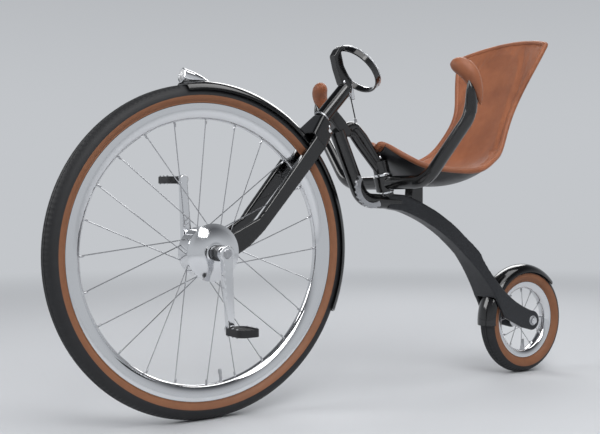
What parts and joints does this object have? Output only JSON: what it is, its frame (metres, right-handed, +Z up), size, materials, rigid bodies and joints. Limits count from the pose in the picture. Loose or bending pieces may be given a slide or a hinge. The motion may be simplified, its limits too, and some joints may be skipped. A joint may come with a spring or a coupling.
{
  "type": "recumbent bicycle",
  "caption": "Recumbent bicycle with a large pedalled front wheel, a small rear wheel on a curved boom, a bucket seat and a handlebar that passes under the seat.",
  "frame": {"origin": "rider's point on the seat pad, in the middle of the pan", "axes": "+X forward, +Y to the rider's left, +Z up"},
  "size_m": [1.493, 0.6156, 0.8988],
  "materials": {
    "gloss_black": "gloss",
    "satin_boom": "satin",
    "chrome": "polished",
    "steel": "brushed",
    "leather": "smooth",
    "shell": "satin",
    "tyre": "matte",
    "pedal": "matte",
    "lens": "clear"
  },
  "bodies": {
    "frame": {"column": "gloss_black", "bracket": "gloss_black", "bracket_strip": "chrome", "holder_ring": "gloss_black", "ring_bezel": "chrome", "arch": "gloss_black", "lower_tube": "gloss_black", "toothed_sector": "steel", "post": "gloss_black", "seat_pad": "leather", "seat_shell": "shell", "seat_bracket": "gloss_black", "boom": "satin_boom", "rear_axle": "steel", "rear_fender": "gloss_black"},
    "fork": {"crown": "gloss_black", "blade_left": "gloss_black", "blade_right": "gloss_black", "hub_axle": "steel", "hub_cap_left": "chrome", "hub_cap_right": "chrome", "front_fender": "gloss_black", "lamp_housing": "chrome", "lamp_lens": "lens"},
    "handlebar_body": {"handlebar": "gloss_black", "grip_left": "leather", "grip_right": "leather"},
    "front_wheel": {"front_tyre": "tyre", "front_rim": "chrome", "front_spokes": "steel", "front_hub": "chrome"},
    "crankset": {"crank_spindle": "steel", "crank_left": "chrome", "crank_right": "chrome"},
    "left_pedal": {"pedal_left": "pedal"},
    "right_pedal": {"pedal_right": "pedal"},
    "rear_wheel": {"rear_tyre": "tyre", "rear_rim": "chrome", "rear_spokes": "steel", "rear_hub": "chrome"}
  },
  "joints": [
    {"name": "steering", "type": "hinge", "parent": "frame", "child": "fork", "pos_m": [0.333, 0, 0.143], "axis": [-0.6884, 0, 0.7254], "range_deg": [-25, 25]},
    {"name": "handlebar_swing", "type": "hinge", "parent": "frame", "child": "handlebar_body", "pos_m": [0.142, 0, -0.005], "axis": [0.284, 0, 0.9588], "range_deg": [-25, 25]},
    {"name": "front_roll", "type": "hinge", "parent": "fork", "child": "front_wheel", "pos_m": [0.6401, 0, -0.15984], "axis": [0, 1, 0], "continuous": true},
    {"name": "crank_turn", "type": "hinge", "parent": "fork", "child": "crankset", "pos_m": [0.6401, 0, -0.15984], "axis": [0, 1, 0], "continuous": true},
    {"name": "left_pedal_turn", "type": "hinge", "parent": "crankset", "child": "left_pedal", "pos_m": [0.63045, 0.136, -0.31754], "axis": [0, 1, 0], "continuous": true},
    {"name": "right_pedal_turn", "type": "hinge", "parent": "crankset", "child": "right_pedal", "pos_m": [0.64974, -0.136, -0.00213], "axis": [0, 1, 0], "continuous": true},
    {"name": "rear_roll", "type": "hinge", "parent": "frame", "child": "rear_wheel", "pos_m": [-0.3479, 0, -0.37484], "axis": [0, 1, 0], "continuous": true}
  ],
  "couplings": [
    {"joint": "handlebar_swing", "follows": "steering", "ratio": 1}
  ]
}
